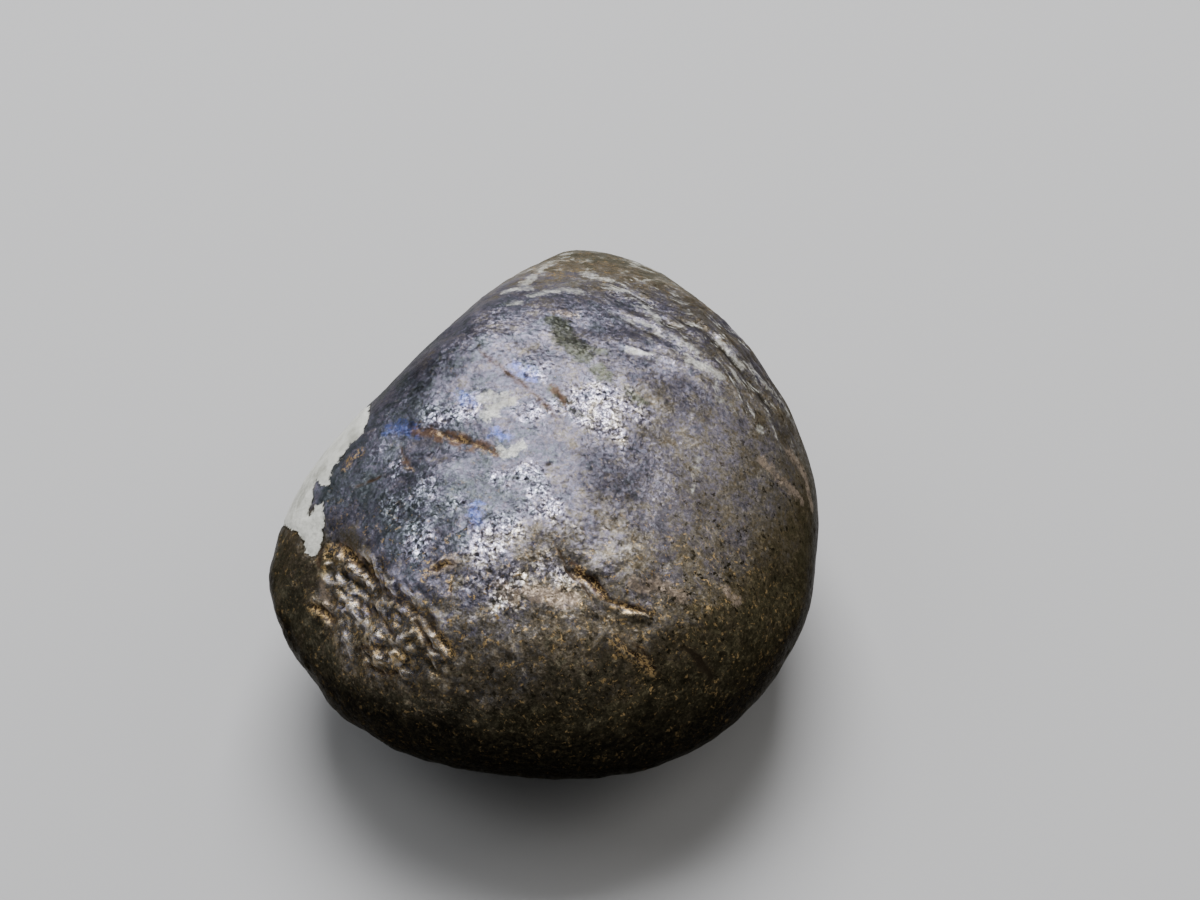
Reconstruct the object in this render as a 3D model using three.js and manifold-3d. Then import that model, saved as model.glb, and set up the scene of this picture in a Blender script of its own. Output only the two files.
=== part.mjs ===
// A tumbled pebble of mohawkite: one solid stone, a rounded triangle in plan with a broad crown,
// a heavy front, a pinched corner on the left and a narrow back end, resting on a small flat.
// Millimetres, +Z up, +X to the right, +Y away from the viewer. The origin is under the middle
// of the stone, on the surface that it rests on.
import * as THREE from "three";
import { ImprovedNoise } from "three/addons/math/ImprovedNoise.js";
import { mergeVertices } from "three/addons/utils/BufferGeometryUtils.js";
import Module from "manifold-3d";

// Driving dimensions.
const WIDTH = 24;
const DEPTH = 28;
const HEIGHT = 15.2;
const FOOT_CUT = 0.35; // how much of the round belly the resting flat has taken away
const ROUGH_HEIGHT = HEIGHT + FOOT_CUT;

const DETAIL = 21; // steps along each edge of the icosahedron that the surface is made from

// The stone is worn out of an ellipsoid of that size. Each worn face is a plane that faces
// azimuth (0 right, 90 back) and elevation in degrees. Its reach is a share of the ellipsoid's.
const WORN_FACES = [
  { name: "crown", azimuth: 270, elevation: 85, reach: 1.03 },
  { name: "crown front", azimuth: 262, elevation: 60, reach: 1.01 },
  { name: "crown left", azimuth: 200, elevation: 60, reach: 0.97 },
  { name: "crown right", azimuth: 340, elevation: 60, reach: 0.98 },
  { name: "crown back", azimuth: 80, elevation: 64, reach: 0.95 },
  { name: "left slope", azimuth: 195, elevation: 35, reach: 0.95 },
  { name: "right slope", azimuth: 340, elevation: 35, reach: 0.99 },
  { name: "brow", azimuth: 285, elevation: 30, reach: 1.0 },
  { name: "front nose", azimuth: 270, elevation: -5, reach: 1.0 },
  { name: "left brow", azimuth: 235, elevation: 20, reach: 0.98 },
  { name: "right brow", azimuth: 315, elevation: 12, reach: 1.02 },
  { name: "right side", azimuth: 0, elevation: 2, reach: 1.03 },
  { name: "right shoulder", azimuth: 18, elevation: 20, reach: 1.0 },
  { name: "right back flank", azimuth: 38, elevation: 27, reach: 0.97 },
  { name: "back end right", azimuth: 62, elevation: 36, reach: 1.09 },
  { name: "back end", azimuth: 86, elevation: 34, reach: 1.12 },
  { name: "left back shoulder", azimuth: 118, elevation: 34, reach: 0.94 },
  { name: "left flank", azimuth: 145, elevation: 27, reach: 0.69 },
  { name: "left flank edge", azimuth: 164, elevation: 14, reach: 0.9 },
  { name: "left corner", azimuth: 184, elevation: 0, reach: 1.02 },
  { name: "left corner foot", azimuth: 208, elevation: -20, reach: 1.07 },
  { name: "front underside left", azimuth: 240, elevation: -36, reach: 1.02 },
  { name: "front underside", azimuth: 275, elevation: -40, reach: 1.03 },
  { name: "front underside right", azimuth: 312, elevation: -32, reach: 1.07 },
  { name: "right underside", azimuth: 345, elevation: -14, reach: 1.08 },
  { name: "left flank foot", azimuth: 148, elevation: -25, reach: 0.76 },
  { name: "back underside", azimuth: 85, elevation: -20, reach: 1.05 },
  { name: "right back underside", azimuth: 35, elevation: -25, reach: 0.96 },
  { name: "belly front", azimuth: 270, elevation: -64, reach: 0.98 },
  { name: "belly left", azimuth: 195, elevation: -58, reach: 0.95 },
  { name: "belly right", azimuth: 345, elevation: -58, reach: 0.98 },
  { name: "belly back", azimuth: 85, elevation: -55, reach: 0.97 },
  { name: "foot", azimuth: 0, elevation: -90, reach: 1.05 },
];
const WEAR = 12; // how sharp the edges between worn faces stay: a ball at 2, a cut gem at 40

// Broad swells (rise above 0) and hollows (below 0), each a smooth round bump on the surface
// nearest to the point given.
const SWELLS = [
  { name: "left corner lobe", at: [-10.8, -4.6, 8.4], radius: 3.4, rise: 0.45 },
  { name: "shelf inside the corner", at: [-7.6, -7.6, 10.9], radius: 3.2, rise: -0.5 },
  { name: "crown over the gash", at: [-1.4, -7.4, 13.8], radius: 3.6, rise: 0.22 },
  { name: "ridge below the crevice", at: [-4.2, -3.6, 14.3], radius: 2.2, rise: 0.16 },
  { name: "saddle behind the crown", at: [4.2, 5.2, 14.2], radius: 3.6, rise: -0.24 },
  { name: "olive hollow", at: [1.5, 3.3, 15.0], radius: 1.5, rise: -0.3 },
  { name: "brow over the corner", at: [-4.8, -8.4, 12.6], radius: 2.0, rise: 0.18 },
  { name: "dish under the brow", at: [4.6, -11.6, 8.4], radius: 3.0, rise: -0.22 },
  { name: "swell on the right brow", at: [7.2, -8.2, 10.8], radius: 2.6, rise: 0.2 },
  { name: "knuckle on the back end", at: [1.6, 11.4, 10.2], radius: 2.4, rise: 0.16 },
  { name: "chip on the left flank", at: [-6.2, 2.2, 9.2], radius: 2.4, rise: -0.28 },
  { name: "hollow in the belly", at: [5.6, 4.4, 1.8], radius: 3.2, rise: -0.3 },
];

// Grooves along a path, with a reach to each side of the path.
const GROOVES = [
  {
    name: "corner furrow",
    path: [[-9.0, -4.2, 11.2], [-7.6, -6.2, 11.6], [-6.1, -8.4, 11.9], [-3.4, -10.7, 11.6]],
    reach: 1.3,
    depth: 0.42,
  },
  {
    name: "crown crevice",
    path: [[-6.0, -1.1, 13.9], [-3.8, -1.8, 14.6], [-1.7, -2.7, 14.9]],
    reach: 1.0,
    depth: 0.36,
  },
  {
    name: "gash",
    path: [[0.4, -6.8, 14.1], [1.6, -8.2, 13.7], [2.6, -8.9, 13.2], [4.5, -9.7, 12.2]],
    reach: 1.05,
    depth: 0.4,
  },
  {
    name: "lower gash",
    path: [[2.4, -10.3, 12.4], [4.9, -11.1, 10.8]],
    reach: 0.9,
    depth: 0.3,
  },
  {
    name: "crease on the right brow",
    path: [[5.9, -10.2, 11.0], [7.4, -10.5, 8.6]],
    reach: 1.1,
    depth: 0.26,
  },
];

// Torn lumps of bright metal on the shelf inside the left corner.
const LUMPS = {
  reach: 1.1,
  rise: 0.24,
  at: [
    [-8.2, -6.4, 11.2],
    [-7.2, -7.9, 11.2],
    [-9.2, -7.4, 9.6],
    [-6.4, -9.5, 11.0],
    [-8.0, -9.0, 9.6],
    [-6.6, -10.4, 9.8],
    [-5.0, -10.3, 11.2],
    [-10.2, -5.9, 9.0],
    [-4.4, -11.4, 10.2],
  ],
};

// Thin ledges along the right back flank. They step down towards `across`.
const LEDGES = {
  at: [7.6, 4.2, 12.8],
  along: [0.69, -0.69, -0.2],
  across: [0.59, 0.7, -0.37],
  length: 7.5,
  reach: 4.2,
  spacing: 1.8,
  step: 0.38,
};

const PITS = { count: 90, smallest: 0.8, largest: 1.5, depth: 0.2 };
const PIT_SEED = 20;

// Low unevenness left by tumbling: wavelength and height of each layer.
const UNEVENNESS = [
  { wavelength: 7.5, height: 0.22 },
  { wavelength: 2.6, height: 0.1 },
];

// How far grooves and ledges stray from a smooth line.
const WANDER = { wavelength: 2.8, reach: 0.7 };

const centre = new THREE.Vector3(0, 0, ROUGH_HEIGHT / 2);
const noise = new ImprovedNoise();

function direction(azimuth, elevation) {
  const polar = THREE.MathUtils.degToRad(90 - elevation);
  const turn = THREE.MathUtils.degToRad(azimuth);
  return new THREE.Vector3(
    Math.sin(polar) * Math.cos(turn),
    Math.sin(polar) * Math.sin(turn),
    Math.cos(polar),
  );
}

function ellipsoidReach(normal) {
  return Math.hypot(
    (normal.x * WIDTH) / 2,
    (normal.y * DEPTH) / 2,
    (normal.z * ROUGH_HEIGHT) / 2,
  );
}

const wornPlanes = WORN_FACES.map(({ azimuth, elevation, reach }) => {
  const normal = direction(azimuth, elevation);
  return { normal, distance: reach * ellipsoidReach(normal) };
});

// Distance from the centre to the worn form. The sum of powers rounds every edge between planes.
function wornRadius(unit) {
  let sum = 0;
  for (const { normal, distance } of wornPlanes) {
    const facing = normal.dot(unit);
    if (facing > 0) sum += (facing / distance) ** WEAR;
  }
  return sum ** (-1 / WEAR);
}

function wornPoint(unit) {
  return unit.clone().multiplyScalar(wornRadius(unit)).add(centre);
}

// The point of the worn form that lies in the direction of a place given in millimetres.
function onForm(place) {
  return wornPoint(new THREE.Vector3(...place).sub(centre).normalize());
}

// 1 at the middle, 0 from the edge outwards, smooth in between.
function fade(share) {
  return share < 1 ? (1 - share * share) ** 2 : 0;
}

// How far a point is from a path, and what share of the path lies before the nearest place.
function placeOnPath(point, path) {
  const nearest = new THREE.Vector3();
  const segment = new THREE.Line3();
  const place = { distance: Infinity, share: 0 };
  for (let i = 1; i < path.length; i++) {
    segment.set(path[i - 1], path[i]).closestPointToPoint(point, true, nearest);
    const distance = nearest.distanceTo(point);
    if (distance > place.distance) continue;
    place.distance = distance;
    place.share = (i - 1 + nearest.distanceTo(path[i - 1]) / segment.distance()) / (path.length - 1);
  }
  return place;
}

// The point moved a little to and fro, so that whatever is measured from it wanders.
function wandering(point) {
  const { x, y, z } = point.clone().divideScalar(WANDER.wavelength);
  const drift = new THREE.Vector3(
    noise.noise(x, y, z + 17),
    noise.noise(x + 31, y, z),
    noise.noise(x, y + 47, z),
  );
  return drift.multiplyScalar(WANDER.reach).add(point);
}

// Repeatable random numbers from 0 to 1.
function randomSource(seed) {
  let state = seed;
  return () => {
    state = (state * 1664525 + 1013904223) % 4294967296;
    return state / 4294967296;
  };
}

function scatterPits() {
  const random = randomSource(PIT_SEED);
  const pits = [];
  for (let i = 0; i < PITS.count; i++) {
    const unit = direction(360 * random(), THREE.MathUtils.radToDeg(Math.asin(2 * random() - 1)));
    const radius = THREE.MathUtils.lerp(PITS.smallest, PITS.largest, random());
    pits.push({ at: wornPoint(unit), radius, depth: PITS.depth * random() });
  }
  return pits;
}

const swells = SWELLS.map(({ at, radius, rise }) => ({ at: onForm(at), radius, rise }));
const grooves = GROOVES.map(({ path, reach, depth }) => ({ path: path.map(onForm), reach, depth }));
const lumps = LUMPS.at.map(onForm);
const pits = scatterPits();
const ledgeMiddle = onForm(LEDGES.at);
const ledgeAlong = new THREE.Vector3(...LEDGES.along).normalize();
const ledgeAcross = new THREE.Vector3(...LEDGES.across).normalize();

function swellHeight(point) {
  return swells.reduce((sum, s) => sum + s.rise * fade(point.distanceTo(s.at) / s.radius), 0);
}

// A groove is widest and deepest at the middle of its path and runs out at both ends.
function grooveHeight(point) {
  const place = wandering(point);
  const cuts = grooves.map(({ path, reach, depth }) => {
    const { distance, share } = placeOnPath(place, path);
    const fullness = Math.sqrt(Math.sin(Math.PI * share));
    return depth * fullness * fade(distance / (reach * (0.5 + 0.5 * fullness)));
  });
  return -Math.max(...cuts);
}

function lumpHeight(point) {
  const place = wandering(point);
  const rises = lumps.map((at) => fade(place.distanceTo(at) / LUMPS.reach));
  return LUMPS.rise * Math.max(...rises);
}

// Each ledge rises slowly and drops sharply at its outer edge.
function ledgeHeight(point) {
  const offset = point.clone().sub(ledgeMiddle);
  const along = offset.dot(ledgeAlong) / LEDGES.length;
  const across = wandering(point).sub(ledgeMiddle).dot(ledgeAcross);
  const aside = offset.addScaledVector(ledgeAlong, -along * LEDGES.length).length();
  const mask = fade(Math.hypot(along, aside / LEDGES.reach));
  const phase = across / LEDGES.spacing - Math.floor(across / LEDGES.spacing);
  return LEDGES.step * mask * (phase - 0.5);
}

function pitHeight(point) {
  const cuts = pits.map((pit) => pit.depth * fade(point.distanceTo(pit.at) / pit.radius));
  return -Math.max(...cuts);
}

function unevenHeight(point) {
  return UNEVENNESS.reduce((sum, { wavelength, height }) => {
    const { x, y, z } = point.clone().divideScalar(wavelength);
    return sum + height * noise.noise(x, y, z);
  }, 0);
}

function reliefHeight(point) {
  return (
    swellHeight(point) +
    grooveHeight(point) +
    lumpHeight(point) +
    ledgeHeight(point) +
    pitHeight(point) +
    unevenHeight(point)
  );
}

// Stretches the rough stone to its driving dimensions, with the part that the foot loses below 0.
function fitToSize(geometry) {
  geometry.computeBoundingBox();
  const box = geometry.boundingBox;
  const size = box.getSize(new THREE.Vector3());
  const middle = box.getCenter(new THREE.Vector3());
  geometry.translate(-middle.x, -middle.y, -box.min.z);
  geometry.scale(WIDTH / size.x, DEPTH / size.y, ROUGH_HEIGHT / size.z);
  geometry.translate(0, 0, -FOOT_CUT);
}

function roughStone() {
  const ball = new THREE.IcosahedronGeometry(1, DETAIL);
  ball.deleteAttribute("normal");
  ball.deleteAttribute("uv");
  const geometry = mergeVertices(ball, 1e-5);
  const positions = geometry.attributes.position;
  const unit = new THREE.Vector3();
  for (let i = 0; i < positions.count; i++) {
    unit.fromBufferAttribute(positions, i).normalize();
    const point = wornPoint(unit);
    point.addScaledVector(unit, reliefHeight(point));
    positions.setXYZ(i, point.x, point.y, point.z);
  }
  fitToSize(geometry);
  return geometry;
}

const manifoldModule = await Module();
manifoldModule.setup();
const { Manifold, Mesh } = manifoldModule;

function toManifold(geometry) {
  return Manifold.ofMesh(
    new Mesh({
      numProp: 3,
      vertProperties: new Float32Array(geometry.attributes.position.array),
      triVerts: new Uint32Array(geometry.index.array),
    }),
  );
}

function toGeometry(manifold) {
  const mesh = manifold.getMesh();
  const geometry = new THREE.BufferGeometry();
  geometry.setAttribute("position", new THREE.BufferAttribute(mesh.vertProperties, 3));
  geometry.setIndex(new THREE.BufferAttribute(mesh.triVerts, 1));
  geometry.computeVertexNormals();
  return geometry;
}

// Everything below the surface that the stone rests on.
function groundBlock() {
  const block = new THREE.BoxGeometry(2 * WIDTH, 2 * DEPTH, HEIGHT);
  block.deleteAttribute("normal");
  block.deleteAttribute("uv");
  block.translate(0, 0, -HEIGHT / 2);
  return mergeVertices(block);
}

function stoneGeometry() {
  return toGeometry(toManifold(roughStone()).subtract(toManifold(groundBlock())));
}

const stone = new THREE.Mesh(
  stoneGeometry(),
  new THREE.MeshStandardMaterial({ color: 0x5c5a5e, metalness: 0.9, roughness: 0.45 }),
);
stone.name = "stone";

const pebble = new THREE.Group();
pebble.add(stone);
export default pebble;
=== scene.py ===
"""A tumbled mohawkite pebble: metallic ore with blue and violet tarnish and a white quartz face.

The stone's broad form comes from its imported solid. This script lays a fine skin over it, works
the small relief of the real stone into the skin, marks where each finish lies, and dresses it.
Lengths in the classes are millimetres unless a name says otherwise. Blender's are metres.
"""

import logging
import math
from dataclasses import dataclass, field
from enum import Enum

import bpy
import numpy as np
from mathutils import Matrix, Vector
from mathutils.bvhtree import BVHTree


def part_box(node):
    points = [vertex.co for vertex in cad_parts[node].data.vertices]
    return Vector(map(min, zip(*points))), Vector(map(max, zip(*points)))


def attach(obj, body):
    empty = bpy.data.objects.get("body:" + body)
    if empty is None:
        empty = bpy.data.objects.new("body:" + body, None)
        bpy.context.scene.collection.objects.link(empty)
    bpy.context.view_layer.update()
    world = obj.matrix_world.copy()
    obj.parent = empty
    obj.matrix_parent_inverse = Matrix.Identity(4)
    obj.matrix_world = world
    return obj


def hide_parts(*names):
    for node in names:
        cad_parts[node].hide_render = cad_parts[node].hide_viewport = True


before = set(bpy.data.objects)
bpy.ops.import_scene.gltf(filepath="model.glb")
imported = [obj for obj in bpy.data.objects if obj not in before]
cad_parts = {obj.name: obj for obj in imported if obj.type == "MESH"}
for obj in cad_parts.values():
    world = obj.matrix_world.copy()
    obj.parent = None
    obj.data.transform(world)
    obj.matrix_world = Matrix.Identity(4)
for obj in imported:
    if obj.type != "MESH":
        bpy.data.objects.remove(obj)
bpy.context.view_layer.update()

log = logging.getLogger("mohawkite")

MM = 0.001  # metres in a millimetre
PHOTO_WIDTH = 1200
PHOTO_HEIGHT = 900
RIGHT = np.array([1.0, 0.0, 0.0])

Pixel = tuple[float, float]  # x to the right and y down, on a frame of 1200 by 900
Line = tuple[tuple[float, float], ...]  # places along a line, or a polygon's corners
Triple = tuple[float, float, float]
Shares = tuple[tuple[str, float], ...]  # names of marks, and a share for each


# Small helpers for arrays of points.


def unit(vectors: np.ndarray) -> np.ndarray:
    """Scales each row to length 1."""
    return vectors / np.maximum(np.linalg.norm(vectors, axis=-1, keepdims=True), 1e-12)


def smoothstep(low: float, high: float, values: np.ndarray) -> np.ndarray:
    """Rises smoothly from 0 at low to 1 at high."""
    share = np.clip((values - low) / (high - low), 0.0, 1.0)
    return share * share * (3.0 - 2.0 * share)


def fade(share: np.ndarray) -> np.ndarray:
    """Falls smoothly from 1 at 0 to 0 at 1 and beyond."""
    return np.clip(1.0 - share * share, 0.0, None) ** 2


class Noise:
    """Repeatable smooth random fields in space. Each use has a seed of its own."""

    period = 32  # cells before the field repeats

    def __init__(self, seed: int) -> None:
        """Draws the field's random numbers.

        Args:
            seed: makes this field differ from the others.
        """
        draw = np.random.default_rng(seed)
        self.slopes = unit(draw.normal(size=(self.period,) * 3 + (3,)))
        self.seeds = draw.random((self.period,) * 3 + (4,))

    def _at(self, table: np.ndarray, cells: np.ndarray) -> np.ndarray:
        """Reads a table at rows of three whole numbers."""
        x, y, z = (cells % self.period).T
        return table[x, y, z]

    def smooth(self, points: np.ndarray, wavelength: float) -> np.ndarray:
        """Gradient noise.

        Args:
            points: rows of x, y, z in millimetres.
            wavelength: size of one lump, in millimetres.

        Returns:
            One value for each point, from about -1 to 1.
        """
        scaled = points / wavelength
        cell = np.floor(scaled).astype(np.int64)
        inside = scaled - cell
        blend = inside**3 * (inside * (inside * 6.0 - 15.0) + 10.0)
        total = np.zeros(len(points))
        for corner in np.ndindex(2, 2, 2):
            step = np.array(corner)
            slope = self._at(self.slopes, cell + step)
            weight = np.prod(np.where(step == 1, blend, 1.0 - blend), axis=1)
            total += weight * (slope * (inside - step)).sum(1)
        return total * 1.5

    def layered(self, points: np.ndarray, wavelength: float, layers: int = 3) -> np.ndarray:
        """Sums layers of smooth noise, each half as wide and half as high as the last.

        Args:
            points: rows of x, y, z in millimetres.
            wavelength: size of the widest lumps, in millimetres.
            layers: how many layers to sum.

        Returns:
            One value for each point, from about -1 to 1.
        """
        shift = np.array([11.3, 5.7, 8.1])
        parts = [self.smooth(points + k * shift, wavelength / 2**k) / 2**k for k in range(layers)]
        return sum(parts) / 1.6

    def drift(self, points: np.ndarray, wavelength: float, reach: float) -> np.ndarray:
        """Moves points to and fro, so that what is measured from them wanders.

        Args:
            points: rows of x, y, z in millimetres.
            wavelength: how far apart the swings are, in millimetres.
            reach: how far a point may move each way, in millimetres.

        Returns:
            The moved points.
        """
        shift = [self.smooth(points + 17.3 * (k + 1), wavelength) for k in range(3)]
        return points + reach * np.stack(shift, 1)

    def cells(self, points: np.ndarray, spacing: float) -> tuple[np.ndarray, np.ndarray]:
        """Finds the nearest of the scattered seeds of a random cell pattern.

        Args:
            points: rows of x, y, z in millimetres.
            spacing: mean distance between seeds, in millimetres.

        Returns:
            The distance to the nearest seed in millimetres, and that seed's random number.
        """
        scaled = points / spacing
        base = np.floor(scaled).astype(np.int64)
        nearest = np.full(len(points), np.inf)
        label = np.zeros(len(points))
        for offset in np.ndindex(3, 3, 3):
            spot = base + np.array(offset) - 1
            seed = self._at(self.seeds, spot)
            distance = np.linalg.norm(scaled - spot - seed[:, :3], axis=1)
            closer = distance < nearest
            nearest = np.where(closer, distance, nearest)
            label = np.where(closer, seed[:, 3], label)
        return nearest * spacing, label


# The camera, and marks found through it.


@dataclass(frozen=True)
class Viewpoint:
    """The camera's place in the part's frame, in millimetres."""

    aim: Triple = (2.3, 3.2, 6.65)
    elevation_deg: float = 50.0
    distance: float = 110.0
    lens: float = 73.26
    sensor: float = 36.0

    @property
    def back(self) -> np.ndarray:
        """Direction from the aim point to the camera."""
        angle = math.radians(self.elevation_deg)
        return np.array([0.0, -math.cos(angle), math.sin(angle)])

    @property
    def place(self) -> np.ndarray:
        """Where the camera stands."""
        return np.array(self.aim) + self.back * self.distance

    @property
    def up(self) -> np.ndarray:
        """Direction that is up on the frame. Right on the frame is +X."""
        return np.cross(self.back, RIGHT)

    @property
    def focal(self) -> float:
        """The lens's focal length, in pixels of the frame."""
        return self.lens / self.sensor * PHOTO_WIDTH

    def sightline(self, pixel: Pixel) -> np.ndarray:
        """The direction in which a pixel of the frame looks.

        Args:
            pixel: the place on the frame.

        Returns:
            A direction of length 1.
        """
        across = (pixel[0] - PHOTO_WIDTH / 2) / self.focal
        down = (pixel[1] - PHOTO_HEIGHT / 2) / self.focal
        return unit(-self.back + RIGHT * across - self.up * down)

    def on_frame(self, points: np.ndarray) -> np.ndarray:
        """Where points appear on the frame.

        Args:
            points: rows of x, y, z in millimetres.

        Returns:
            Rows of x to the right and y down, in pixels.
        """
        offset = points - self.place
        scale = self.focal / -(offset @ self.back)
        return np.stack([
            PHOTO_WIDTH / 2 + offset @ RIGHT * scale,
            PHOTO_HEIGHT / 2 - offset @ self.up * scale,
        ], 1)

    def build(self) -> bpy.types.Object:
        """Makes the camera and hands it to the scene.

        Returns:
            The camera.
        """
        data = bpy.data.cameras.new("photo_camera")
        data.lens = self.lens
        data.sensor_width = self.sensor
        data.clip_start = 0.001
        data.clip_end = 10.0
        camera = bpy.data.objects.new("photo_camera", data)
        camera.location = Vector(self.place * MM)
        camera.rotation_mode = "QUATERNION"
        camera.rotation_quaternion = Vector(-self.back).to_track_quat("-Z", "Y")
        bpy.context.scene.collection.objects.link(camera)
        bpy.context.scene.camera = camera
        return camera


@dataclass(frozen=True)
class Crack:
    """A crack, scratch or crevice along a line of the stone that the photo shows."""

    name: str
    line: Line
    half_width: float
    depth: float
    lip: float = 0.0
    dirt_and_shade: float = 1.0


@dataclass(frozen=True)
class Ridge:
    """A raised ribbon of metal along a line that the photo shows."""

    name: str
    line: Line
    half_width: float
    rise: float


@dataclass(frozen=True)
class Knob:
    """A rounded lump of torn metal."""

    name: str
    spot: Pixel
    radius: float
    rise: float


@dataclass(frozen=True)
class Patch:
    """A blot along a line, with ragged edges. It marks another mineral or colour, and in some
    tables painted shade or painted highlight.
    """

    name: str
    line: Line
    radius: float


CRACKS = (
    Crack("corner furrow", ((337, 543), (346, 550), (359, 564), (376, 581), (390, 596),
                            (406, 608), (421, 615), (434, 631), (446, 644), (458, 657)),
          0.34, 0.14, 0.03, 0.35),
    Crack("crown crevice", ((412, 428), (432, 431), (455, 438), (478, 444), (497, 452)),
          0.22, 0.06, 0.0, 0.45),
    Crack("crevice floor", ((452, 438), (464, 442), (476, 442)), 0.13, 0.16),
    Crack("crevice end", ((480, 446), (490, 450), (499, 454)), 0.08, 0.08),
    Crack("crevice branch", ((400, 445), (405, 458), (411, 471)), 0.09, 0.05),
    Crack("gash", ((576, 571), (588, 581), (604, 594)), 0.24, 0.26, 0.03),
    Crack("gash thread", ((554, 543), (565, 564), (584, 590), (606, 618)), 0.09, 0.06, 0.02, 0.5),
    Crack("gash arm", ((603, 596), (620, 605), (636, 609), (652, 613)), 0.16, 0.16, 0.03),
    Crack("low gash", ((614, 637), (630, 652), (644, 663), (656, 668)), 0.13, 0.15, 0.03),
    Crack("low gash twin", ((622, 634), (640, 649), (652, 660)), 0.11, 0.11, 0.03),
    Crack("hairline", ((478, 348), (488, 356), (507, 370), (526, 386), (547, 405), (560, 420)),
          0.1, 0.07),
    Crack("hairline hole", ((556, 388), (562, 396), (567, 402)), 0.2, 0.06, 0.0, 0.5),
    Crack("left dash", ((354, 490), (366, 483)), 0.09, 0.06),
    Crack("left dash beside", ((367, 482), (385, 473)), 0.1, 0.08),
    Crack("left dash above", ((355, 471), (363, 465)), 0.08, 0.06),
    Crack("right crease", ((683, 643), (698, 660), (713, 677)), 0.3, 0.12, 0.0, 0.3),
    Crack("black pit", ((721, 462), (724, 464)), 0.12, 0.12),
    Crack("chip hollow", ((312, 606), (322, 613), (333, 624)), 0.24, 0.18, 0.0),
    Crack("low tear", ((357, 651), (370, 648), (384, 646)), 0.13, 0.13, 0.02),
    Crack("bead tear", ((383, 656), (397, 652), (410, 657)), 0.12, 0.12, 0.02),
    Crack("mid tear", ((350, 594), (366, 608), (382, 621), (397, 642)), 0.14, 0.1, 0.0, 0.6),
    Crack("ribbon tear", ((412, 616), (420, 628), (428, 645), (440, 657)), 0.13, 0.1, 0.0, 0.6),
    Crack("under tear", ((364, 665), (382, 671), (398, 675)), 0.12, 0.12, 0.02),
    Crack("brow nick", ((420, 579), (432, 571), (445, 564), (457, 566)), 0.12, 0.08, 0.03),
    Crack("brow nick below", ((451, 583), (452, 603)), 0.09, 0.07, 0.03),
    Crack("quartz edge crack", ((323, 546), (317, 561), (325, 573)), 0.1, 0.1, 0.02),
)

RIDGES = (
    Ridge("first ribbon", ((344, 569), (361, 577), (378, 587)), 0.16, 0.1),
    Ridge("second ribbon", ((353, 588), (369, 601), (384, 613), (398, 633), (404, 645)),
          0.17, 0.13),
    Ridge("third ribbon", ((422, 620), (428, 635), (437, 645), (447, 654)), 0.15, 0.17),
    Ridge("curl", ((368, 645), (373, 637), (382, 638), (384, 646)), 0.13, 0.14),
    Ridge("low ribbon", ((356, 645), (368, 653), (378, 657), (388, 651)), 0.15, 0.14),
    Ridge("chip rim", ((307, 597), (321, 601), (329, 607), (332, 617)), 0.16, 0.16),
    Ridge("under ribbon", ((369, 670), (382, 675), (397, 681)), 0.14, 0.12),
    Ridge("bright lip", ((625, 615), (638, 617), (651, 618)), 0.2, 0.15),
    Ridge("low gash lip", ((615, 644), (630, 658), (651, 673)), 0.11, 0.09),
    Ridge("brow ledge", ((422, 575), (434, 567), (446, 560), (458, 558)), 0.16, 0.09),
    Ridge("crevice rim", ((390, 435), (404, 436), (418, 434)), 0.12, 0.07),
    Ridge("apex ridge", ((531, 296), (556, 291), (583, 293)), 0.26, 0.06),
    Ridge("apex rim", ((506, 291), (524, 286), (540, 282)), 0.24, 0.06),
    Ridge("ledge edge", ((622, 344), (644, 353), (676, 362), (722, 377)), 0.28, 0.12),
    Ridge("ledge edge above", ((636, 300), (650, 316), (662, 334), (696, 354)), 0.24, 0.1),
    Ridge("upper ledge", ((690, 312), (716, 338), (744, 366)), 0.24, 0.1),
    Ridge("outer ledge", ((742, 352), (766, 384), (792, 418)), 0.26, 0.1),
)

KNOBS = (
    Knob("bright lump", (348, 567), 0.44, 0.2),
    Knob("quartz tip bead", (327, 563), 0.24, 0.12),
    Knob("furrow bead", (338, 556), 0.22, 0.12),
    Knob("smooth lump", (416, 629), 0.6, 0.15),
    Knob("middle lump", (388, 602), 0.4, 0.1),
    Knob("tear bead", (389, 651), 0.24, 0.14),
    Knob("low bead", (403, 662), 0.3, 0.15),
    Knob("side bead", (410, 648), 0.3, 0.12),
    Knob("lowest bead", (405, 677), 0.28, 0.14),
    Knob("corner bead", (308, 621), 0.24, 0.12),
    Knob("corner bead below", (322, 632), 0.28, 0.1),
    Knob("edge bead", (276, 558), 0.26, 0.08),
    Knob("gash bead", (612, 621), 0.24, 0.13),
    Knob("gash shoulder", (597, 569), 0.3, 0.08),
    Knob("brow bead", (430, 540), 0.3, 0.05),
)

TAN_PATCHES = (
    Patch("brow blot", ((530, 590), (548, 596), (572, 600)), 0.34),
    Patch("brow blot left", ((498, 586), (514, 596)), 0.3),
    Patch("blot right of the gash", ((636, 588), (656, 583), (680, 594)), 0.3),
    Patch("small right blot", ((727, 592), (736, 600)), 0.22),
    Patch("right edge streak", ((762, 461), (780, 478), (802, 500)), 0.2),
    Patch("right edge streak end", ((788, 452), (803, 470), (813, 506)), 0.26),
    Patch("left corner blot", ((322, 590), (330, 602)), 0.3),
    Patch("brow nick blot", ((436, 566), (452, 562)), 0.22),
    Patch("apex rose spot", ((552, 311), (576, 313)), 0.2),
)

# Pale grain and streaks; those on the ledge ridges are partly painted highlight.
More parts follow.
